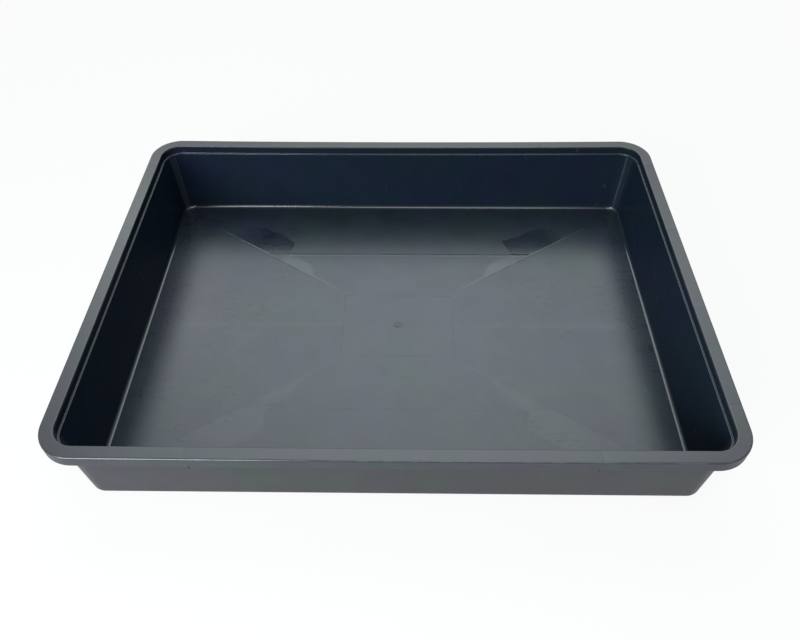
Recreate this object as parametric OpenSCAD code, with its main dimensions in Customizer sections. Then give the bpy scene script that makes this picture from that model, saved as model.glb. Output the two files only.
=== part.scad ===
// Plant carry tray: an open rectangular tray moulded in one shot from dark plastic.
// The moulding is divided into named regions that meet face to face.
// The origin is on the ground under the middle of the tray, with +Z up and the long side along X.

/* [Tray] */
// Overall length, over the skirt
tray_len = 560; // [420:1:640]
// Overall width, over the skirt
tray_wid = 420; // [320:1:480]
// Overall height, from the ground to the top of the rim
tray_h = 85; // [60:1:110]
// Radius of the outer corners, seen from above
corner_r = 31; // [28:0.5:45]
// Thickness of the moulded shell
wall_t = 2; // [1.4:0.1:3]
// Slope of the side walls, in degrees from upright
wall_slope = 4.3; // [2:0.1:6]

/* [Rim] */
// Width of the flat rim, from the skirt's outer face to the inner edge
rim_w = 11.6; // [9:0.1:15]
// Height of the skirt that hangs from the rim, measured from the rim's top
skirt_h = 10.9; // [7:0.1:16]
// Rounding of the rim's outer edge
rim_outer_r = 1.5; // [0.5:0.1:1.9]
// Rounding of the rim's inner edge
rim_inner_r = 0.8; // [0.3:0.1:1.2]
// Rounding of the skirt's lower edge
skirt_edge_r = 0.6; // [0.2:0.1:0.9]

/* [Ledge] */
// Depth of the ledge below the top of the rim
ledge_depth = 9; // [6:0.1:14]
// Width of the ledge's step
ledge_w = 1.5; // [0.8:0.1:3]
// Slope of the band above the ledge, in degrees from upright
band_slope = 1; // [0:0.1:3]
// Rounding of the ledge's nose
ledge_nose_r = 0.5; // [0.2:0.1:0.7]

/* [Ribs] */
// Thickness of the short ribs under the rim
rib_t = 2; // [1.2:0.1:3]
// How far the ribs reach down past the skirt and the ledge
rib_drop = 8; // [2:0.5:12]
// Slant across each rib's lower outer corner
rib_chamfer = 2; // [0.5:0.5:4]

/* [Floor] */
// Radius of the fillet between the walls and the floor, inside the tray
fillet_r = 3.2; // [1.5:0.1:5]
// Width of the flat band that the tray stands on, inside the walls' rounded heel
foot_w = 16; // [8:0.5:24]
// Rise of the floor from the foot band to the middle crease
lower_rise = 0.7; // [0.2:0.1:1.5]
// Further rise of the floor from the middle crease to the flat centre
upper_rise = 0.5; // [0.1:0.1:1.5]
// Diameter of the mark that the moulding gate left in the middle of the floor
gate_mark_d = 6; // [3:0.5:10]
// Depth of the gate mark
gate_mark_depth = 0.3; // [0.1:0.05:0.6]

/* [Hidden] */
$fn = 96;

// How far a cut runs past the material that it cuts
overrun = 5;
// Places of the flat centre's edge and of the middle crease, as shares of half the floor panel
crease_shares = [0.22, 0.563];
// Places of the ribs on a long and on a short side, as shares of half its straight run
rib_long_shares = [-0.645, 0.645];
rib_short_shares = [-0.872, -0.275, 0.323, 0.921];

// Middles of the corner arcs, as distances from the middle of the tray
arc_x = tray_len / 2 - corner_r;
arc_y = tray_wid / 2 - corner_r;

// Heights
rim_under_z = tray_h - wall_t;
skirt_low_z = tray_h - skirt_h;
ledge_z = tray_h - ledge_depth;
ledge_under_z = ledge_z - wall_t;
rib_low_z = min(skirt_low_z, ledge_under_z) - rib_drop;

// Places in the wall's cross-section, as distances outwards from the corner arc's middle
rim_inner = corner_r - rim_w;
band_low = rim_inner - ledge_depth * tan(band_slope);
nose = band_low - ledge_w;
band_outer = rim_inner + wall_t;
skirt_inner = corner_r - wall_t;
wall_foot = nose - (ledge_z - wall_t) * tan(wall_slope);

// The heel: one centre for the fillet inside and the rounding outside
heel_r = fillet_r + wall_t;
heel_z = heel_r;
heel_at = wall_foot - fillet_r * (1 - sin(wall_slope)) / cos(wall_slope);

// Half sizes of the floor panel, and the rise of its flat centre
panel_x = arc_x + heel_at;
panel_y = arc_y + heel_at;
full_rise = lower_rise + upper_rise;

// Distance from the corner arc's middle to the inner wall face at height z
function wall_inner(z) = nose - (ledge_z - z) * tan(wall_slope);

// The same for the outer wall face
function wall_outer(z) = wall_inner(z) + wall_t / cos(wall_slope);

// Draws the cross-section given as children all the way round the tray
module around_tray() {
    for (side = [0:3]) {
        across = side % 2 == 0 ? arc_x : arc_y;
        run = side % 2 == 0 ? arc_y : arc_x;
        rotate([0, 0, side * 90]) translate([across, run, 0]) {
            rotate([90, 0, 0]) linear_extrude(2 * run) children();
            rotate_extrude(angle = 90) children();
        }
    }
}

// A rectangle from (low_u, low_z) to (high_u, high_z) in the cross-section
module bar(low_u, low_z, high_u, high_z) {
    translate([low_u, low_z]) square([high_u - low_u, high_z - low_z]);
}

// What a square corner at the origin loses when it is rounded, with the material towards +u and +z
module corner_waste(r) {
    difference() {
        translate([-overrun, -overrun]) square([overrun + r, overrun + r]);
        translate([r, r]) circle(r);
    }
}

// Outline of the floor panel seen from above
module panel_outline() {
    for (x = [-arc_x, arc_x], y = [-arc_y, arc_y]) translate([x, y]) circle(heel_at);
    square([2 * panel_x, 2 * arc_y], center = true);
    square([2 * arc_x, 2 * panel_y], center = true);
}

// Side view of the raised part of the floor, for a panel of this half size
module raised_side(half, depth) {
    foot = half - foot_w;
    crease = half * crease_shares[1];
    flat = half * crease_shares[0];
    polygon([
        [-foot, -depth], [-foot, 0], [-crease, lower_rise], [-flat, full_rise],
        [flat, full_rise], [crease, lower_rise], [foot, 0], [foot, -depth]
    ]);
}

// The raised part of the floor: two side views crossed, so that its creases run to the corners
module raised_floor(depth) {
    intersection() {
        translate([0, panel_y, 0]) rotate([90, 0, 0])
            linear_extrude(2 * panel_y) raised_side(panel_x, depth);
        translate([-panel_x, 0, 0]) rotate([90, 0, 90])
            linear_extrude(2 * panel_x) raised_side(panel_y, depth);
    }
}

// The floor: level on its foot band, then folded up in two shallow steps to a flat centre
module floor_panel() {
    color([0.31, 0.33, 0.34]) difference() {
        union() {
            linear_extrude(wall_t) panel_outline();
            translate([0, 0, wall_t]) raised_floor(wall_t / 2);
        }
        raised_floor(overrun);
        translate([0, 0, wall_t + full_rise - gate_mark_depth])
            cylinder(h = gate_mark_depth + overrun, d = gate_mark_d);
    }
}

// Everything inwards of a wall face: the sloping line, and the arc of radius r that it runs into
module inwards_of_wall(r, top_z) {
    translate([heel_at, heel_z]) circle(r);
    polygon([
        [heel_at, heel_z], [heel_at + r * cos(wall_slope), heel_z - r * sin(wall_slope)],
        [wall_inner(top_z) + (r - fillet_r) / cos(wall_slope), top_z], [heel_at, top_z]
    ]);
}

// The sloping walls with the rounded heel at their foot
module side_walls() {
    color([0.1, 0.12, 0.15]) around_tray() intersection() {
        bar(heel_at, 0, corner_r, ledge_under_z);
        difference() {
            inwards_of_wall(heel_r, ledge_z);
            inwards_of_wall(fillet_r, ledge_z);
        }
    }
}

// The short band under the rim, and the ledge that it runs down to
module ledge_band() {
    color([0.14, 0.16, 0.19]) around_tray() difference() {
        polygon([
            [wall_inner(ledge_under_z), ledge_under_z], [band_outer, ledge_under_z],
            [band_outer, rim_under_z], [rim_inner - wall_t * tan(band_slope), rim_under_z],
            [band_low, ledge_z], [nose, ledge_z]
        ]);
        translate([nose, ledge_z]) mirror([0, 1]) corner_waste(ledge_nose_r);
    }
}

// The flat rim that is turned outwards, with both its edges rounded
module rim_flange() {
    color([0.44, 0.47, 0.48]) around_tray() difference() {
        polygon([
            [rim_inner - wall_t * tan(band_slope), rim_under_z], [corner_r, rim_under_z],
            [corner_r, tray_h], [rim_inner, tray_h]
        ]);
        translate([corner_r, tray_h]) rotate(180) corner_waste(rim_outer_r);
        translate([rim_inner, tray_h]) mirror([0, 1]) corner_waste(rim_inner_r);
    }
}

// The skirt that hangs from the rim's outer edge, for fingers to hook under
module edge_skirt() {
    color([0.32, 0.34, 0.37]) around_tray() difference() {
        bar(skirt_inner, skirt_low_z, corner_r, rim_under_z);
        translate([corner_r, skirt_low_z]) mirror([1, 0]) corner_waste(skirt_edge_r);
        translate([skirt_inner, skirt_low_z]) corner_waste(skirt_edge_r);
    }
}

// One rib, standing across the space between the wall and the skirt
module rib() {
    rotate([90, 0, 0]) linear_extrude(rib_t, center = true) polygon([
        [skirt_inner, rim_under_z], [band_outer, rim_under_z],
        [band_outer, ledge_under_z], [wall_outer(ledge_under_z), ledge_under_z],
        [wall_outer(rib_low_z), rib_low_z], [skirt_inner - rib_chamfer, rib_low_z],
        [skirt_inner, rib_low_z + rib_chamfer]
    ]);
}

// The short ribs that stiffen the rim from below
module rim_ribs() {
    color([0.3, 0.32, 0.35]) {
        for (flip = [0, 1], share = rib_short_shares) mirror([flip, 0, 0])
            translate([arc_x, share * arc_y, 0]) rib();
        for (flip = [0, 1], share = rib_long_shares) mirror([0, flip, 0])
            translate([share * arc_x, arc_y, 0]) rotate([0, 0, 90]) rib();
    }
}

floor_panel();
side_walls();
ledge_band();
rim_flange();
edge_skirt();
rim_ribs();
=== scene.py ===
"""Looks of the plant carry tray: one dark plastic moulding, built of closed meshes in the frame."""

import math

import bmesh
import bpy
from mathutils import Matrix, Vector


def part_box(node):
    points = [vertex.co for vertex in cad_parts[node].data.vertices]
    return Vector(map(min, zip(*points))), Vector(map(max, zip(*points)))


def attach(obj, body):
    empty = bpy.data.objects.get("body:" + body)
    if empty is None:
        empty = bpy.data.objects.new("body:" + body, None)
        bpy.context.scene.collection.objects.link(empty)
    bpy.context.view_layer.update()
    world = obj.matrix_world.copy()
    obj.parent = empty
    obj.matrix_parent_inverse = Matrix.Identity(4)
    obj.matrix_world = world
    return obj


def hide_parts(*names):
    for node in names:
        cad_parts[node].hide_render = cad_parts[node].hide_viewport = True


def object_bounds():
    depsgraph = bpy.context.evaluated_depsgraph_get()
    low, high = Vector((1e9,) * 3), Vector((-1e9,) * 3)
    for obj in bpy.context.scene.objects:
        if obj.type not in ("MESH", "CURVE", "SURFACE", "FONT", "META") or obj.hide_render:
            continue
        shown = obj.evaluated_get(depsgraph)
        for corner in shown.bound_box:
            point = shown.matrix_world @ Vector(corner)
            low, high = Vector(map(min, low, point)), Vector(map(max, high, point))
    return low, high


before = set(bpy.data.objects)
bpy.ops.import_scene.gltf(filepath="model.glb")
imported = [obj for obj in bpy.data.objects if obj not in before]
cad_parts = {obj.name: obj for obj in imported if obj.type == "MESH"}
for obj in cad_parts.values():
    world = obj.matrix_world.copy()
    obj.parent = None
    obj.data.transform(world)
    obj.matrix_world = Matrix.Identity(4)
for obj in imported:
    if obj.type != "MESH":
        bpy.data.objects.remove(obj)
cad_low, cad_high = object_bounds()

MM = 0.001

# Sizes taken from the frame
HALF_LEN = cad_high.x
HALF_WID = cad_high.y
TRAY_H = cad_high.z
RIM_UNDER_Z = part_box("rim_flange")[0].z
SKIRT_LOW_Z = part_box("edge_skirt")[0].z
RIB_LOW_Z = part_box("rim_ribs")[0].z
LEDGE_UNDER_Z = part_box("ledge_band")[0].z
PANEL_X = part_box("floor_panel")[1].x
PANEL_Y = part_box("floor_panel")[1].y
FLOOR_TOP_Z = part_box("floor_panel")[1].z
WALL_T = TRAY_H - RIM_UNDER_Z
LEDGE_Z = LEDGE_UNDER_Z + WALL_T

# Driving sizes of the cross-section, as in the part's source
CORNER_R = 31 * MM
RIM_W = 11.6 * MM
RIM_OUTER_R = 1.5 * MM
RIM_INNER_R = 0.8 * MM
SKIRT_EDGE_R = 0.6 * MM
LEDGE_W = 1.5 * MM
LEDGE_NOSE_R = 0.5 * MM
FILLET_R = 3.2 * MM
FOOT_W = 16 * MM
LOWER_RISE = 0.7 * MM
GATE_MARK_R = 3 * MM
GATE_MARK_DEPTH = 0.3 * MM
WALL_SLOPE = math.radians(4.3)
BAND_SLOPE = math.radians(1)
CREASE_SHARES = (0.22, 0.563)
RIB_T = 2 * MM
RIB_CHAMFER = 2 * MM
RIB_LONG_SHARES = (-0.645, 0.645)
RIB_SHORT_SHARES = (-0.872, -0.275, 0.323, 0.921)

# Small roundings that the part's source leaves out
LEDGE_ROOT_R = 0.4 * MM
RIB_EDGE_R = 0.3 * MM
CREASE_SOFT = 1 * MM

# How the long sides of the real moulding give a little, halfway along
RIM_SAG = 1.0 * MM
BACK_BOW = 1.2 * MM

# The sink marks that the ribs leave across the top of the rim
SINK_DEPTH = 0.08 * MM
SINK_HALF_WIDTH = 1.5 * MM
SINK_STEPS = 3

# How finely the meshes are divided
CORNER_STEPS = 20
LONG_STEPS = 56
SHORT_STEPS = 42
ARC_STEPS = 10
CREASE_STEPS = 4
RIB_EDGE_STEPS = 3
SUPPORT = 0.25 * MM
SHARP_ANGLE = math.radians(30)

# The columns in the middle of each corner that have the glossier look of the walls' corners
CORNER_GLOSS = (7, 13)

# Width of the floor's edge that belongs to the walls' piece, size of the floor's corners, and the
# most of a facet that the rounding of a crease may take up
FLOOR_STRIP = 2 * MM
CORNER_ZONE = 12 * MM
SOFT_MOST = 0.4

# The gate mark's rings, from outside inwards, as shares of its radius and of its depth
GATE_MARK = [
    (2.2, 0), (1.5, 0), (1.15, 0.1), (1, 0.3), (0.85, 0.7), (0.7, 0.9), (0.55, 1), (0.25, 1),
]

# Places worked out from those sizes, with u measured outwards from the corner arcs' middles
ARC_X = HALF_LEN - CORNER_R
ARC_Y = HALF_WID - CORNER_R
RIM_INNER = CORNER_R - RIM_W
BAND_OUTER = RIM_INNER + WALL_T
BAND_LOW = RIM_INNER - (TRAY_H - LEDGE_Z) * math.tan(BAND_SLOPE)
NOSE = BAND_LOW - LEDGE_W
WALL_ACROSS = WALL_T / math.cos(WALL_SLOPE)
HEEL_AT = PANEL_X - ARC_X
HEEL_Z = FILLET_R + WALL_T
SKIRT_INNER = CORNER_R - WALL_T
FULL_RISE = FLOOR_TOP_Z - WALL_T

# Places on the floor, as distances from its middle: the foot band, the flat centre and the fold
FOOT_X = PANEL_X - FOOT_W
FLAT_X = PANEL_X * CREASE_SHARES[0]
FLAT_Y = PANEL_Y * CREASE_SHARES[0]
FOLD_Y = PANEL_Y * CREASE_SHARES[1]

# The hips that the floor's facets meet in, seen from above: |y| = HIP_START + HIP_SLOPE * |x|
HIP_SLOPE = 0.684
HIP_START = 4.7 * MM

# The glossy band beside each hip: where along the hip it widens or narrows, from, to and by how
# much (for its tail, the lens before the back fold, the patch behind it and its end), how far its
# edge wanders, and how soft that edge is
BAND_WIDTHS = [
    (66 * MM, 90 * MM, 4.5 * MM),
    (114 * MM, 136 * MM, 11.5 * MM),
    (163 * MM, 172 * MM, 19 * MM),
    (205 * MM, 250 * MM, -15 * MM),
]
BAND_RAGGED = 8 * MM
BAND_EDGE = 4.5 * MM

# Half the width of the faint lines on the floor, and of the wider one along the back fold
LINE_HALF_WIDTH = 1.3 * MM
FOLD_HALF_WIDTH = 2.6 * MM

# Colours, as linear red, green and blue
FLOOR_COLOUR = (0.0132, 0.0198, 0.0285)
WALL_COLOUR = (0.009, 0.0158, 0.0275)
# Painted light: the outside faces get a paler copy of the plastic's colour than the inner walls,
# for the light that falls on them
LIT_OUTER_COLOUR = (0.039, 0.042, 0.046)
LEDGE_COLOUR = (0.016, 0.024, 0.034)
RIM_COLOUR = (0.02, 0.024, 0.028)
# Painted light: the skirt gets a paler copy still, for the light on its front
LIT_SKIRT_COLOUR = (0.046, 0.052, 0.059)
SCUFF_COLOUR = (0.4, 0.42, 0.44, 1)
# Paler colour on the rim's edges: wear, and a painted highlight
WEAR_AND_HIGHLIGHT_COLOUR = (0.3, 0.31, 0.32, 1)
# Painted highlight: the pale colour laid along the floor's middle streak and along the hips
PAINTED_HIGHLIGHT_COLOUR = (0.2, 0.22, 0.24, 1)
# Painted sheen: the greenish pale colour laid on the glossy bands in the floor's front half
PAINTED_SHEEN_COLOUR = (0.2, 0.24, 0.23, 1)
# Black, for the painted shade along the floor's lines and for the floor's dark smudges
BLACK = (0, 0, 0, 1)

# Sizes of the blotches of tint, shade and gloss, of the surface's soft waves, and of its grain
TINT_SIZE = 60 * MM
SHADE_SIZE = 20 * MM
GLOSS_SIZE = 35 * MM
WAVE_SIZE = 50 * MM
GRAIN_SIZE = 0.7 * MM

# Heights of the waves, and of the grain on glossy, satin and matte faces and on the rim
WAVE_HEIGHT = 0.04 * MM
GLOSSY_GRAIN = 0.001 * MM
SATIN_GRAIN = 0.003 * MM
MATTE_GRAIN = 0.005 * MM
RIM_GRAIN = 0.006 * MM

# Two kinds of scuffs: length, width, turn from the long side in radians, and rarity from 0 to 1
SCUFFS = [(14 * MM, 0.7 * MM, 0.12, 0.8), (9 * MM, 0.6 * MM, 1.9, 0.8)]
SCUFF_EDGE = 0.08

# Specks of dust: the spacing of their places, their size, and the share of places that has one
DUST = (30 * MM, 0.4 * MM, 0.1)

# Steps between the places at which one use of noise, or of specks, and the next are read, and the
# height at which the specks are read, in cells
NOISE_STEP = (7.3, 3.1, 1.7)
SPECK_STEP = (5.7, 2.9)
SPECK_LEVEL = 0.4

# The photograph's view, fitted to the tray's edges: metres, degrees, and its lens in pixels
CAMERA_PLACE = (0.01316, -0.49084, 0.55972)
CAMERA_TURN, CAMERA_TILT, CAMERA_ROLL = -1.2613, 48.21, -0.6289
FOCAL_PX, FRAME_PX = 715, 800
SENSOR_MM = 36

# The ground: its size, how far it lies below the tray, and the white of its paper
GROUND_SIZE = 12
GROUND_GAP = 0.2 * MM
PAPER_WHITE = (0.7, 0.7, 0.7, 1)

# How much of the ground's white the camera sees whatever falls on it: GROUND_GLOW up to the first
# of two distances from its middle, and all of it from the second
GROUND_GLOW = 0.9
GROUND_NEAR, GROUND_FAR = 0.5, 2.0

# The light from all round
WORLD_LIGHT = 0.05

# The lamps, as area() takes them: name, place, target, size, radiance, colour and half the spread
LAMPS = [
    ("softbox", (0.04, 1.137, 1.683), (0.04, -0.049, 0.035), (2.58, 1.68), 3.5, (0.88, 1, 1.05),
     50),
    ("key", (-0.66, -1.02, 0.56), (0, 0, 0.03), (0.82, 0.66), 12.2, (0.94, 1, 1.04)),
    ("fill", (0.16, -0.53, 1.43), (0.03, 0.1, 0), (0.74, 0.8), 4.4, (0.92, 1, 1.04)),
    ("side", (-0.94, 1.34, 1.2), (-0.27, 0.1, 0.085), (0.3, 0.5), 2.2, (0.96, 1, 1.02)),
]


def wall_inner(z):
    """Distance from the corner arcs' middles to the inner wall face at height z."""
    return NOSE - (LEDGE_Z - z) * math.tan(WALL_SLOPE)


def band_inner(z):
    """Distance from the corner arcs' middles to the band's inner face at height z."""
    return RIM_INNER - (TRAY_H - z) * math.tan(BAND_SLOPE)


def rounded(corners):
    """A closed outline with its corners rounded, and a supporting point beside each arc."""
    outline = []
    for i, (u, z, r) in enumerate(corners):
        here = Vector((u, z))
        if not r:
            outline.append(here)
            continue
        back = (Vector(corners[i - 1][:2]) - here).normalized()
        on = (Vector(corners[(i + 1) % len(corners)][:2]) - here).normalized()
        half = back.angle(on) / 2
        reach = r / math.tan(half)
        middle = here + (back + on).normalized() * (r / math.sin(half))
        first = here + back * reach - middle
        last = here + on * reach - middle
        turn = first.angle_signed(last)
        outline.append(here + back * (reach + SUPPORT))
        for step in range(ARC_STEPS + 1):
            turned = Matrix.Rotation(-turn * step / ARC_STEPS, 2) @ first
            outline.append(middle + turned)
        outline.append(here + on * (reach + SUPPORT))
    return outline


def stations(steps, run, shares):
    """Places along a straight run, as shares of it from 0 up to 1, closer at the sink marks."""
    marks = [(1 + share) / 2 for share in shares]
    wide = SINK_HALF_WIDTH / (2 * run)
    places = [n / steps for n in range(steps)]
    places = [p for p in places if not p or all(abs(p - mark) > 2 * wide for mark in marks)]
    for mark in marks:
        places += [mark + wide * n / SINK_STEPS for n in range(-SINK_STEPS, SINK_STEPS + 1)]
    return sorted(places)


# The straight runs in the order of ring(): back, left, front and right, followed anticlockwise
RUNS = [
    stations(LONG_STEPS, ARC_X, RIB_LONG_SHARES),
    stations(SHORT_STEPS, ARC_Y, [-share for share in RIB_SHORT_SHARES]),
    stations(LONG_STEPS, ARC_X, RIB_LONG_SHARES),
    stations(SHORT_STEPS, ARC_Y, RIB_SHORT_SHARES),
]


def ring(arc_x, arc_y, r, z, squareness=0):
    """Points of a rounded rectangle at height z, anticlockwise.

    Its corners are arcs at squareness 0 and square at 1.
    """
    middles = [(arc_x, arc_y), (-arc_x, arc_y), (-arc_x, -arc_y), (arc_x, -arc_y)]
    points = []
    for quarter, middle in enumerate(middles):
        for step in range(CORNER_STEPS):
            part = math.radians(90) * step / CORNER_STEPS
            reach = r * (1 - squareness + squareness / max(math.cos(part), math.sin(part)))
            angle = math.radians(90 * quarter) + part
            x = middle[0] + reach * math.cos(angle)
            y = middle[1] + reach * math.sin(angle)
            points.append(Vector((x, y, z)))
        angle = math.radians(90 * (quarter + 1))
        out = Vector((r * math.cos(angle), r * math.sin(angle), z))
        low = Vector((*middle, 0)) + out
        high = Vector((*middles[(quarter + 1) % 4], 0)) + out
        points += [low.lerp(high, place) for place in RUNS[quarter]]
    return points


def sink(point):
    """How deep the rim's top is sunk at a point, above the ribs."""
    if point.z < TRAY_H - RIM_OUTER_R:
        return 0
    along, run, shares = point.x, ARC_X, RIB_LONG_SHARES
    if abs(point.x) - ARC_X > abs(point.y) - ARC_Y:
        along, run, shares = point.y, ARC_Y, RIB_SHORT_SHARES
    off = min(abs(along - share * run) for share in shares) / SINK_HALF_WIDTH
    return SINK_DEPTH * math.cos(off * math.pi / 2) ** 2 if off < 1 else 0


def bent(point):
    """A point of the nominal tray, moved as the real moulding gives.

    The long sides sag, the back one bows inwards, and the rim has its sink marks.
    """
    along = 1 - (point.x / HALF_LEN) ** 2
    height = point.z / TRAY_H
    side = abs(point.y) / HALF_WID
    sag = RIM_SAG * along * height ** 2 * side ** 2
    bow = BACK_BOW * along * height * side ** 2 if point.y > 0 else 0
    return Vector((point.x, point.y - bow, point.z - sag - sink(point)))


def piece_from(name, work):
    """Turns a bmesh into a smoothly shaded piece of the scene."""
    mesh = bpy.data.meshes.new(name)
    bmesh.ops.recalc_face_normals(work, faces=work.faces)
    work.to_mesh(mesh)
    work.free()
    mesh.shade_smooth()
    mesh.set_sharp_from_angle(angle=SHARP_ANGLE)
    piece = bpy.data.objects.new(name, mesh)
    bpy.context.scene.collection.objects.link(piece)
    return piece


def in_corner(column):
    """Whether a column of faces along a ring lies in the middle part of one of the corners."""
    for run in RUNS:
        if column < CORNER_STEPS:
            return CORNER_GLOSS[0] <= column < CORNER_GLOSS[1]
        column -= CORNER_STEPS + len(run)
        if column < 0:
            return False
    return False


def loft(name, rings, closed, zones=None, corner_zone=0):
    """A closed mesh through rings of equal length: joined end to end if closed, capped otherwise.

    zones gives the number of the material between each ring and the next. In the middle of the
    corners, corner_zone takes the place of number 0.
    """
    work = bmesh.new()
    verts = [[work.verts.new(bent(p)) for p in row] for row in rings]
    pairs = list(zip(verts, verts[1:]))
    if closed:
        pairs.append((verts[-1], verts[0]))
    else:
        work.faces.new(reversed(verts[0]))
        work.faces.new(verts[-1])
    for row, (lower, upper) in enumerate(pairs):
        for i in range(len(lower)):
            j = (i + 1) % len(lower)
            face = work.faces.new((lower[i], lower[j], upper[j], upper[i]))
            zone = zones[row] if zones else 0
            face.material_index = corner_zone if zone == 0 and in_corner(i) else zone
    return piece_from(name, work)


def swept(name, corners, zone=None, corner_zone=0):
    """A cross-section with rounded corners, carried all the way round the tray.

    zone(u, z) numbers the material of each of its faces.
    """
    outline = rounded(corners)
    zones = None
    if zone:
        middles = [(a + b) / 2 for a, b in zip(outline, outline[1:] + outline[:1])]
        zones = [zone(p.x, p.y) for p in middles]
    rings = [ring(ARC_X, ARC_Y, p.x, p.y) for p in outline]
    return loft(name, rings, closed=True, zones=zones, corner_zone=corner_zone)


def wall_zone(u, z):
    """0 on the walls' inner face, 1 on the strip of floor, 2 outside and below, 3 on the fillet.

    Number 4, in the corners of the inner face, comes from loft().
    """
    if z >= HEEL_Z:
        return 0 if u < wall_inner(z) + WALL_ACROSS / 2 else 2
    if math.hypot(max(u - HEEL_AT, 0), z - HEEL_Z) > FILLET_R + WALL_T / 2:
        return 2
    return 3 if u > HEEL_AT else 1


def ledge_zone(u, z):
    """0 on the upright inner faces, 1 on the ledge and 2 outside."""
    if u > band_inner(z) + WALL_T / 2 or z <= LEDGE_UNDER_Z:
        return 2
    return 1 if LEDGE_Z - LEDGE_NOSE_R < z < LEDGE_Z + LEDGE_ROOT_R else 0


def walls_piece():
    seam = HEEL_AT - FLOOR_STRIP
    return swept("tray_walls", [
        (wall_inner(LEDGE_UNDER_Z), LEDGE_UNDER_Z, 0),
        (wall_inner(WALL_T), WALL_T, FILLET_R),
        (seam, WALL_T, 0),
        (seam, 0, 0),
        (wall_inner(0) + WALL_ACROSS, 0, FILLET_R + WALL_T),
        (wall_inner(LEDGE_UNDER_Z) + WALL_ACROSS, LEDGE_UNDER_Z, 0),
    ], wall_zone, corner_zone=4)


def ledge_piece():
    return swept("tray_ledge", [
        (wall_inner(LEDGE_UNDER_Z), LEDGE_UNDER_Z, 0),
        (BAND_OUTER, LEDGE_UNDER_Z, 0),
        (BAND_OUTER, RIM_UNDER_Z, 0),
        (band_inner(RIM_UNDER_Z), RIM_UNDER_Z, 0),
        (BAND_LOW, LEDGE_Z, LEDGE_ROOT_R),
        (NOSE, LEDGE_Z, LEDGE_NOSE_R),
    ], ledge_zone)


def rim_piece():
    return swept("tray_rim", [
        (band_inner(RIM_UNDER_Z), RIM_UNDER_Z, 0),
        (CORNER_R, RIM_UNDER_Z, 0),
        (CORNER_R, TRAY_H, RIM_OUTER_R),
        (RIM_INNER, TRAY_H, RIM_INNER_R),
    ])


def skirt_piece():
    return swept("tray_skirt", [
        (SKIRT_INNER, RIM_UNDER_Z, 0),
        (SKIRT_INNER, SKIRT_LOW_Z, SKIRT_EDGE_R),
        (CORNER_R, SKIRT_LOW_Z, SKIRT_EDGE_R),
        (CORNER_R, RIM_UNDER_Z, 0),
    ])


def ribs_piece():
    """Plates across the space between the wall and the skirt, with their free edges rounded."""
    outline = [
        (SKIRT_INNER, RIM_UNDER_Z), (BAND_OUTER, RIM_UNDER_Z), (BAND_OUTER, LEDGE_UNDER_Z),
        (wall_inner(LEDGE_UNDER_Z) + WALL_ACROSS, LEDGE_UNDER_Z),
        (wall_inner(RIB_LOW_Z) + WALL_ACROSS, RIB_LOW_Z),
        (SKIRT_INNER - RIB_CHAMFER, RIB_LOW_Z), (SKIRT_INNER, RIB_LOW_Z + RIB_CHAMFER),
    ]
    places = [(turn, ARC_Y, share * ARC_X) for turn in (90, 270) for share in RIB_LONG_SHARES]
    places += [(0, ARC_X, share * ARC_Y) for share in RIB_SHORT_SHARES]
    places += [(180, ARC_X, -share * ARC_Y) for share in RIB_SHORT_SHARES]
    free = len(outline) - 3
    work = bmesh.new()
    for turn, out, along in places:
        spin = Matrix.Rotation(math.radians(turn), 4, "Z")
        sides = []
        for edge in (-RIB_T / 2, RIB_T / 2):
            points = [spin @ Vector((out + u, along + edge, z)) for u, z in outline]
            sides.append([work.verts.new(bent(p)) for p in points])
        near, far = sides
        work.faces.new(near)
        work.faces.new(reversed(far))
        for i in range(len(outline)):
            j = (i + 1) % len(outline)
            work.faces.new((near[j], near[i], far[i], far[j]))
        soft = [work.edges.get((side[i], side[i + 1]))
                for side in sides for i in range(free, len(outline) - 1)]
        soft += [work.edges.get((near[free + 1], far[free + 1]))]
        bmesh.ops.bevel(work, geom=soft, offset=RIB_EDGE_R, segments=RIB_EDGE_STEPS,
                        profile=0.5, affect="EDGES")
    return piece_from("tray_ribs", work)


def floor_side(base_z):
    """Rings of one face of the floor, inwards: half length, half width, corner size and height."""
    crease_share, flat_share = CREASE_SHARES[1], CREASE_SHARES[0]
    return [
        (PANEL_X - FLOOR_STRIP, PANEL_Y - FLOOR_STRIP, HEEL_AT - FLOOR_STRIP, base_z),
        (PANEL_X - FOOT_W, PANEL_Y - FOOT_W, CORNER_ZONE, base_z),
        (PANEL_X * crease_share, PANEL_Y * crease_share, CORNER_ZONE, base_z + LOWER_RISE),
        (PANEL_X * flat_share, PANEL_Y * flat_share, CORNER_ZONE, base_z + FULL_RISE),
    ]


def between(a, b, share):
    return tuple(p + (q - p) * share for p, q in zip(a, b))


def softened(stops):
    """Rings through the stops, with each inner stop rounded over a short way on both sides."""
    rows = [stops[0]]
    for before, stop, after in zip(stops, stops[1:], stops[2:] + [None]):
        near = between(stop, before, min(SOFT_MOST, CREASE_SOFT / (before[0] - stop[0])))
        if after:
            past = between(stop, after, min(SOFT_MOST, CREASE_SOFT / (stop[0] - after[0])))
        else:
            inwards = between(stop, (0, 0, 0, 0), CREASE_SOFT / stop[0])
            past = (*inwards[:2], stop[2], stop[3])
        for step in range(CREASE_STEPS + 1):
            t = step / CREASE_STEPS
            rows.append(between(between(near, stop, t), between(stop, past, t), t))
    return rows


def flat_ring(row):
    """A ring of the floor: its corners are round at the floor's edge and square further inwards."""
    half_x, half_y, size, z = row
    squareness = (PANEL_X - FLOOR_STRIP - half_x) / (FOOT_W - FLOOR_STRIP - CREASE_SOFT)
    return ring(half_x - size, half_y - size, size, z, min(1, squareness))


def circle_like(points, r, z):
    """A circle whose points lie in the same directions from the middle as those of a ring."""
    spokes = [(p.x, p.y, math.hypot(p.x, p.y)) for p in points]
    return [Vector((r * x / length, r * y / length, z)) for x, y, length in spokes]


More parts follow.
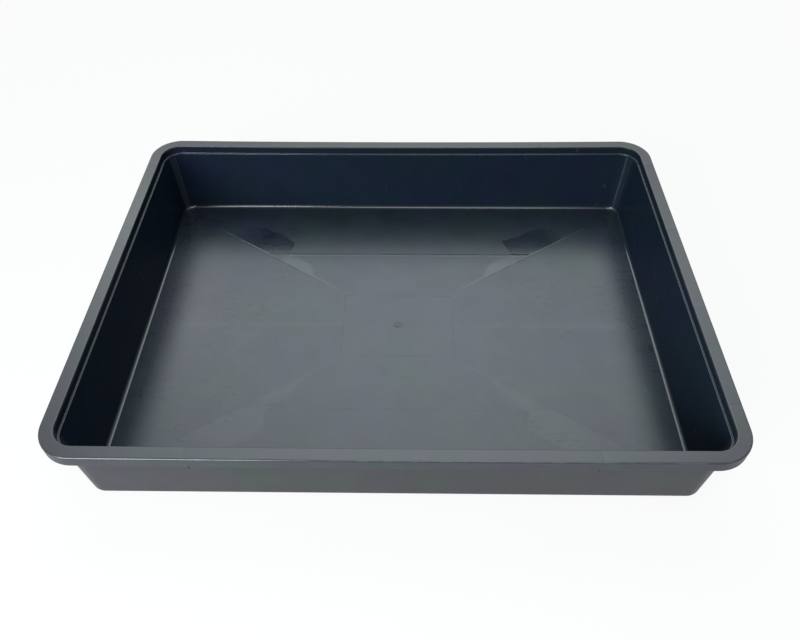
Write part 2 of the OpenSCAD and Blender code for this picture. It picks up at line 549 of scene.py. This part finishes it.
def floor_piece():
    under = [flat_ring(row) for row in softened(floor_side(0))]
    top = [flat_ring(row) for row in softened(floor_side(WALL_T))]
    inner = top[-1]
    for share, depth in GATE_MARK:
        z = FLOOR_TOP_Z - GATE_MARK_DEPTH * depth
        top.append(circle_like(inner, GATE_MARK_R * share, z))
    return loft("tray_floor", under[::-1] + top, closed=False)


def tinted(colour, sides, middle):
    """A colour with its red and blue times one factor, and its green times another."""
    return (colour[0] * sides, colour[1] * middle, colour[2] * sides, 1)


class Plastic:
    """Moulded plastic: a Principled material whose colour, roughness and bump are driven by nodes.

    It starts as plain plastic: two tints in soft blotches, a fine grain, and a few scuffs and
    specks of dust. Lengths are in metres, and a value is a number, a colour or a node's output.
    The seed counts the uses of noise, so their order is part of the looks.
    """

    def __init__(self, name, base, roughness, grain,
                 specular=0.5, mottle=0.15, unevenness=0.03, tinting=0.06):
        self.material = bpy.data.materials.new(name)
        self.material.use_nodes = True
        self.tree = self.material.node_tree
        self.shader = self.tree.nodes["Principled BSDF"]
        self.shader.inputs["Specular IOR Level"].default_value = specular
        self.place = self.add("TexCoord").outputs["Object"]
        axes = self.add("SeparateXYZ", {"Vector": self.place}).outputs
        self.x, self.y = axes["X"], axes["Y"]
        self.seed = 0
        more, less = 1 + tinting, 1 - tinting
        tint = self.ramp(self.noise(TINT_SIZE, 3), 0.35, 0.65)
        colour = self.blend(tint, tinted(base, less, more), tinted(base, more, less))
        shade = self.total(1.0, self.swing(self.noise(SHADE_SIZE, 3), mottle))
        shaded = self.add("VectorMath", {0: colour, "Scale": shade}, operation="SCALE").outputs[0]
        scuffs = self.math("MAXIMUM", *[self.scuffs(*kind) for kind in SCUFFS])
        dust = self.specks(*DUST)
        marks = self.math("MAXIMUM", self.product(scuffs, 0.03), self.product(dust, 0.25))
        self.colour = self.blend(marks, shaded, SCUFF_COLOUR)
        gloss = self.swing(self.noise(GLOSS_SIZE, 3), unevenness)
        self.rough = self.total(roughness, gloss, self.product(scuffs, 0.05))
        fine = self.swing(self.noise(GRAIN_SIZE, 2), grain)
        self.height = self.total(fine, self.swing(self.noise(WAVE_SIZE, 2), WAVE_HEIGHT))

    def add(self, kind, inputs=None, **settings):
        node = self.tree.nodes.new("ShaderNode" + kind)
        for name, value in settings.items():
            setattr(node, name, value)
        for socket, value in (inputs or {}).items():
            self.feed(node.inputs[socket], value)
        return node

    def feed(self, socket, value):
        if isinstance(value, bpy.types.NodeSocket):
            self.tree.links.new(value, socket)
        else:
            socket.default_value = value

    def math(self, operation, *values):
        return self.add("Math", dict(enumerate(values)), operation=operation).outputs[0]

    def magnitude(self, value):
        return self.math("ABSOLUTE", value)

    def difference(self, first, second):
        return self.math("SUBTRACT", first, second)

    def total(self, *values):
        result = values[0]
        for value in values[1:]:
            result = self.math("ADD", result, value)
        return result

    def product(self, *values):
        result = values[0]
        for value in values[1:]:
            result = self.math("MULTIPLY", result, value)
        return result

    def ramp(self, value, low, high, from_value=0.0, to_value=1.0):
        """A smooth step as value goes from low to high, by default from 0 to 1."""
        inputs = {0: value, 1: low, 2: high, 3: from_value, 4: to_value}
        return self.add("MapRange", inputs, interpolation_type="SMOOTHSTEP").outputs[0]

    def fade(self, value, low, high):
        """A smooth step from 1 to 0 as value goes from low to high."""
        return self.ramp(value, low, high, 1.0, 0.0)

    def noise(self, size, detail=2, stretch=(1, 1, 1), at=None):
        """Noise from 0 to 1, centred on a half, with blotches about size across."""
        self.seed += 1
        shrink = [1 / (size * s) for s in stretch]
        moved = self.add("Mapping", {"Vector": at or self.place, "Scale": shrink,
                                     "Location": [step * self.seed for step in NOISE_STEP]})
        node = self.add("TexNoise", {"Vector": moved.outputs[0], "Scale": 1.0,
                                     "Detail": detail, "Roughness": 0.5})
        return node.outputs[0]

    def swing(self, noise, amount):
        """Noise about a half, turned into a value from -amount to amount, roughly."""
        return self.product(self.difference(noise, 0.5), 2 * amount)

    def blend(self, share, first, second):
        node = self.add("Mix", data_type="RGBA")
        for name, value in (("Factor_Float", share), ("A_Color", first), ("B_Color", second)):
            socket = next(s for s in node.inputs if s.identifier == name)
            self.feed(socket, value)
        return next(s for s in node.outputs if s.identifier == "Result_Color")

    def scuffs(self, length, width, turn, rarity):
        """Short straight scuffs, turned in plan from the long side: 1 on a scuff, 0 elsewhere."""
        turned = self.add("Mapping", {"Vector": self.place, "Rotation": (0, 0, turn)}).outputs[0]
        field = self.noise(width, 0, (length / width, 1, length / width), at=turned)
        return self.ramp(field, rarity, rarity + SCUFF_EDGE)

    def specks(self, spacing, size, share):
        """Small round specks in a share of the cells that are spacing across."""
        self.seed += 1
        shift = (*[step * self.seed for step in SPECK_STEP], SPECK_LEVEL)
        moved = self.add("Mapping", {"Vector": self.place, "Scale": [1 / spacing] * 3,
                                     "Location": shift})
        cells = self.add("TexVoronoi", {"Vector": moved.outputs[0], "Scale": 1.0})
        near = self.fade(cells.outputs["Distance"], 0.5 * size / spacing, size / spacing)
        picked = self.add("SeparateColor", {"Color": cells.outputs["Color"]}).outputs[0]
        return self.product(near, self.math("LESS_THAN", picked, share))

    def normal(self):
        geometry = self.add("NewGeometry")
        return self.add("SeparateXYZ", {"Vector": geometry.outputs["Normal"]}).outputs

    def finish(self):
        """Feeds the shader, and gives the material."""
        bump = self.add("Bump", {"Height": self.height, "Distance": 1.0, "Strength": 1.0})
        fed = {"Base Color": self.colour, "Roughness": self.rough, "Normal": bump.outputs[0]}
        for name, value in fed.items():
            self.feed(self.shader.inputs[name], value)
        return self.material


class FloorPlastic(Plastic):
    """Satin, with a glossy band beside each hip, lines along the folds, and smudges. Some lines
    carry painted shade; the middle streak and the hips carry painted highlights, and the front
    bands painted sheen.

    off_x and off_y are distances from the floor's two middle lines, and past_hip and along_hip
    are measured across and along the nearest hip, so all four quarters of the floor are alike.
    What at_back goes into is fainter in the front half.
    """

    def __init__(self):
        super().__init__("floor_plastic", FLOOR_COLOUR, roughness=0.33, grain=SATIN_GRAIN,
                         mottle=0.45, unevenness=0.025, tinting=0.1)
        self.off_x, self.off_y = self.magnitude(self.x), self.magnitude(self.y)
        steep = math.hypot(1, HIP_SLOPE)
        hip_y = self.total(self.product(self.off_x, HIP_SLOPE), HIP_START)
        along = self.total(self.off_x, self.product(self.off_y, HIP_SLOPE))
        self.past_hip = self.math("DIVIDE", self.difference(self.off_y, hip_y), steep)
        self.along_hip = self.math("DIVIDE", along, steep)
        self.at_back = self.ramp(self.y, -10 * MM, 10 * MM, 0.25, 1.0)
        self.beside_flat = [self.ramp(self.off_x, 56 * MM, 60 * MM),
                            self.fade(self.off_x, 240 * MM, 243 * MM)]
        self.band = self.hip_band()
        self.broken = self.ramp(self.noise(20 * MM, 2), 0.35, 0.6, 0.15, 1.0)
        self.add_gloss()
        self.add_lines()
        self.add_painted_highlights()
        self.add_smudges()

    def hip_band(self):
        """Where the glossy band is. Before the fold it is weaker, most of all close to the fold."""
        wander = self.ramp(self.along_hip, 130 * MM, 170 * MM, 0.1, 1.0)
        ragged = self.product(self.swing(self.noise(12 * MM, 3), BAND_RAGGED), wander)
        widths = [self.ramp(self.along_hip, start, end, 0.0, change)
                  for start, end, change in BAND_WIDTHS]
        past_edge = self.difference(self.past_hip, self.total(ragged, *widths))
        before_fold = self.ramp(self.along_hip, 158 * MM, 172 * MM, 0.75, 0.3)
        return self.product(self.ramp(self.past_hip, 0.0, 0.6 * MM),
                            self.fade(past_edge, -BAND_EDGE, 0.0),
                            self.ramp(self.off_y, FOLD_Y - 1 * MM, FOLD_Y, before_fold, 1.0))

    def add_gloss(self):
        """Changes the gloss at the back and sides, on the bands, the streak and the gate mark."""
        zones = self.total(self.ramp(self.y, 20 * MM, 120 * MM, 0.0, 0.01),
                           self.ramp(self.off_x, 180 * MM, 220 * MM, 0.0, -0.025),
                           self.ramp(self.off_x, FOOT_X - 6 * MM, FOOT_X + 5 * MM, 0.0, -0.06))
        bands = self.product(self.band, self.ramp(self.y, -20 * MM, 20 * MM, -0.03, -0.14),
                             self.fade(self.along_hip, 210 * MM, 250 * MM))
        streak = self.product(self.ramp(self.off_y, 1 * MM, 4 * MM, -0.016, 0.0),
                              *self.beside_flat)
        squares = self.total(self.product(self.x, self.x), self.product(self.y, self.y))
        gate = self.ramp(self.math("SQRT", squares), GATE_MARK_R, 7 * MM, 0.06, 0.0)
        self.rough = self.total(self.rough, zones, bands, streak, gate)

    def line(self, off, where, half_width=LINE_HALF_WIDTH):
        """A soft broken line where off is 0: 1 on it, 0 elsewhere."""
        return self.product(self.fade(self.magnitude(off), 0.0, half_width), where, self.broken)

    def add_lines(self):
        """Adds the lines along the hips, the folds and the edges of the flat centre, and painted
        shade along the flat centre's edges and the front fold.
        """
        far_along = self.ramp(self.along_hip, 90 * MM, 140 * MM, 0.2, 1.0)
        past = self.ramp(self.past_hip, 0.0, 1 * MM)
        hip = self.line(self.past_hip, self.product(self.at_back, far_along))
        back_fold = self.line(self.difference(self.off_y, FOLD_Y),
                              self.product(self.at_back, past), FOLD_HALF_WIDTH)
        long_edge = self.line(self.difference(self.off_y, FLAT_Y),
                              self.fade(self.off_x, FLAT_X, FLAT_X + 1 * MM))
        short_edge = self.line(self.difference(self.off_x, FLAT_X),
                               self.fade(self.off_y, FLAT_Y, FLAT_Y + 1 * MM))
        front_fold = self.line(self.total(self.y, FOLD_Y),
                               self.fade(self.off_x, 60 * MM, 100 * MM))
        raised = ((hip, -0.12 * MM), (back_fold, 0.11 * MM),
                  (long_edge, -0.06 * MM), (short_edge, -0.06 * MM))
        self.height = self.total(self.height, *[self.product(*pair) for pair in raised])
        # Painted shade: the flat centre's edges and the front fold are darkened towards black
        painted_shade_lines = ((long_edge, 0.65), (short_edge, 0.65), (front_fold, 0.75))
        dark = self.total(*[self.product(*pair) for pair in painted_shade_lines])
        self.colour = self.blend(self.math("MINIMUM", dark, 1.0), self.colour, BLACK)

    def add_painted_highlights(self):
        """Adds painted highlights: a pale streak along the middle and pale lines along the hips'
        far parts, and painted sheen on the front's bands.
        """
        streak = self.product(self.fade(self.off_y, 0.0, 5 * MM), *self.beside_flat, self.broken)
        hip_highlights = self.product(self.at_back, self.fade(self.magnitude(self.past_hip), 0.0, 1.2 * MM),
                            self.ramp(self.along_hip, 170 * MM, 190 * MM),
                            self.fade(self.along_hip, 250 * MM, 270 * MM))
        front = self.product(self.band, self.ramp(self.y, -20 * MM, 20 * MM, 0.04, 0.0))
        # Painted highlights: the middle streak and the hips' far parts are made paler
        self.colour = self.blend(self.product(streak, 0.025), self.colour, PAINTED_HIGHLIGHT_COLOUR)
        self.colour = self.blend(self.product(hip_highlights, 0.1), self.colour, PAINTED_HIGHLIGHT_COLOUR)
        # Painted sheen: the front half of the glossy bands is made paler
        self.colour = self.blend(front, self.colour, PAINTED_SHEEN_COLOUR)

    def add_smudges(self):
        """Adds groups of small dark smudges towards the short sides."""
        smudges = self.product(self.ramp(self.noise(4 * MM, 4, (2, 1, 1)), 0.52, 0.66),
                               self.ramp(self.noise(35 * MM, 2), 0.5, 0.62),
                               self.ramp(self.off_x, 70 * MM, 130 * MM))
        self.colour = self.blend(self.product(smudges, 0.6), self.colour, BLACK)
        self.height = self.total(self.height, self.product(smudges, 0.01 * MM))


def corner_plastic():
    """The walls' upright corners: glossier, most of all along their middle."""
    plastic = Plastic("corner_plastic", WALL_COLOUR, roughness=0.13, grain=GLOSSY_GRAIN)
    normal = plastic.normal()
    turned = plastic.magnitude(plastic.product(normal["X"], normal["Y"], 2))
    plastic.rough = plastic.total(plastic.rough, plastic.ramp(turned, 0.88, 0.98, 0.4, 0.0))
    return plastic.finish()


def rim_plastic():
    """The rim: matte, with a coarser grain, and a little paler on its edges' roundings, partly
    where hands wear them and partly as a painted highlight.
    """
    plastic = Plastic("rim_plastic", RIM_COLOUR, roughness=0.29, grain=RIM_GRAIN)
    level = plastic.normal()["Z"]
    edge = plastic.product(plastic.ramp(level, 0.3, 0.7), plastic.fade(level, 0.85, 0.99))
    wear_and_highlight = plastic.product(edge, plastic.ramp(plastic.noise(12 * MM, 3), 0.4, 0.7))
    # Wear and painted highlight: the edges' roundings are made a little paler
    plastic.colour = plastic.blend(plastic.product(wear_and_highlight, 0.12), plastic.colour, WEAR_AND_HIGHLIGHT_COLOUR)
    plastic.rough = plastic.total(plastic.rough, plastic.product(edge, -0.12))
    return plastic.finish()


def camera():
    """The photograph's view."""
    data = bpy.data.cameras.new("camera")
    data.sensor_width = SENSOR_MM
    data.lens = SENSOR_MM * FOCAL_PX / FRAME_PX
    cam = bpy.data.objects.new("camera", data)
    spin = (Matrix.Rotation(math.radians(-CAMERA_TURN), 4, "Z")
            @ Matrix.Rotation(math.radians(90 - CAMERA_TILT), 4, "X")
            @ Matrix.Rotation(math.radians(CAMERA_ROLL), 4, "Z"))
    cam.matrix_world = Matrix.Translation(CAMERA_PLACE) @ spin
    bpy.context.scene.collection.objects.link(cam)
    bpy.context.scene.camera = cam


def area(name, place, target, size, radiance, colour, half_spread=None):
    """A soft lamp. Its radiance is how bright it looks in a mirror, straight on, where 1 is white.

    With a half_spread in degrees it is an ellipse that looks dimmer the more slantwise it is seen.
    """
    data = bpy.data.lights.new(name, "AREA")
    data.shape = "RECTANGLE"
    data.size, data.size_y = size
    data.energy = radiance * math.pi * size[0] * size[1]
    if half_spread:
        half = math.radians(half_spread)
        data.shape = "ELLIPSE"
        data.spread = 2 * half
        data.energy *= math.pi / 4 * (1 - half / math.tan(half))
    data.color = colour
    lamp = bpy.data.objects.new(name, data)
    lamp.location = place
    lamp.rotation_euler = (Vector(target) - Vector(place)).to_track_quat("-Z", "Y").to_euler()
    bpy.context.scene.collection.objects.link(lamp)


def shown_apart(tree, plain, shown):
    """Mixes two shaders: plain for diffuse light, shown for the camera and in gloss and glass."""
    path = tree.nodes.new("ShaderNodeLightPath")
    seen = path.outputs["Is Camera Ray"]
    for ray in ("Is Glossy Ray", "Is Transmission Ray"):
        either = tree.nodes.new("ShaderNodeMath")
        either.operation = "MAXIMUM"
        tree.links.new(seen, either.inputs[0])
        tree.links.new(path.outputs[ray], either.inputs[1])
        seen = either.outputs[0]
    mix = tree.nodes.new("ShaderNodeMixShader")
    for socket, value in zip(mix.inputs, (seen, plain, shown)):
        tree.links.new(value, socket)
    return mix.outputs[0]


def ground_material():
    """White paper. To the camera it mostly shines by itself, and so keeps only a soft shadow."""
    material = bpy.data.materials.new("ground_white")
    material.use_nodes = True
    tree = material.node_tree
    paper = tree.nodes["Principled BSDF"]
    paper.inputs["Base Color"].default_value = PAPER_WHITE
    paper.inputs["Roughness"].default_value = 1
    paper.inputs["Specular IOR Level"].default_value = 0
    glow = tree.nodes.new("ShaderNodeEmission")
    place = tree.nodes.new("ShaderNodeTexCoord")
    distance = tree.nodes.new("ShaderNodeVectorMath")
    distance.operation = "LENGTH"
    tree.links.new(place.outputs["Object"], distance.inputs[0])
    share = tree.nodes.new("ShaderNodeMapRange")
    share.interpolation_type = "SMOOTHSTEP"
    tree.links.new(distance.outputs["Value"], share.inputs[0])
    for socket, value in zip(list(share.inputs)[1:5], (GROUND_NEAR, GROUND_FAR, GROUND_GLOW, 1)):
        socket.default_value = value
    mix = tree.nodes.new("ShaderNodeMixShader")
    for socket, node in zip(mix.inputs, (share, paper, glow)):
        tree.links.new(node.outputs[0], socket)
    shown = shown_apart(tree, paper.outputs[0], mix.outputs[0])
    tree.links.new(shown, tree.nodes["Material Output"].inputs["Surface"])
    return material


def stage():
    bpy.ops.mesh.primitive_plane_add(size=GROUND_SIZE, location=(0, 0, -GROUND_GAP))
    ground = bpy.context.object
    ground.name = "ground"
    ground.data.materials.append(ground_material())
    world = bpy.data.worlds.new("world")
    bpy.context.scene.world = world
    world.use_nodes = True
    tree = world.node_tree
    dim, white = tree.nodes["Background"], tree.nodes.new("ShaderNodeBackground")
    for background, strength in ((dim, WORLD_LIGHT), (white, 1)):
        background.inputs["Color"].default_value = (1, 1, 1, 1)
        background.inputs["Strength"].default_value = strength
    shown = shown_apart(tree, dim.outputs[0], white.outputs[0])
    tree.links.new(shown, tree.nodes["World Output"].inputs["Surface"])
    for lamp in LAMPS:
        area(*lamp)


floor_look = FloorPlastic().finish()
fillet_look = Plastic("fillet_plastic", FLOOR_COLOUR, roughness=0.15, grain=GLOSSY_GRAIN).finish()
wall_look = Plastic("wall_plastic", WALL_COLOUR, roughness=0.25, grain=GLOSSY_GRAIN,
                    specular=0.02).finish()
corner_look = corner_plastic()
# The outer faces and the skirt take the paler, painted-light copies of the plastic's colour
outer_look = Plastic("outer_plastic", LIT_OUTER_COLOUR, roughness=0.4, grain=SATIN_GRAIN,
                     specular=0.15).finish()
ledge_look = Plastic("ledge_plastic", LEDGE_COLOUR, roughness=0.14, grain=GLOSSY_GRAIN,
                     specular=0.55).finish()
rim_look = rim_plastic()
skirt_look = Plastic("skirt_plastic", LIT_SKIRT_COLOUR, roughness=0.42, grain=MATTE_GRAIN,
                     specular=0.15).finish()

# For each node: what builds its piece, its slot, and its materials in the order of their numbers
made = {
    "floor_panel": (floor_piece, "floor", [floor_look]),
    "side_walls": (walls_piece, "walls",
                   [wall_look, floor_look, outer_look, fillet_look, corner_look]),
    "ledge_band": (ledge_piece, "ledge", [wall_look, ledge_look, outer_look]),
    "rim_flange": (rim_piece, "rim", [rim_look]),
    "edge_skirt": (skirt_piece, "skirt", [skirt_look]),
    "rim_ribs": (ribs_piece, "skirt", [skirt_look]),
}
for node, (build, slot, looks) in made.items():
    piece = build()
    for look in looks:
        piece.data.materials.append(look)
    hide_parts(node)
    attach(piece, "root")

camera()
stage()
bpy.context.scene.view_settings.view_transform = "Standard"
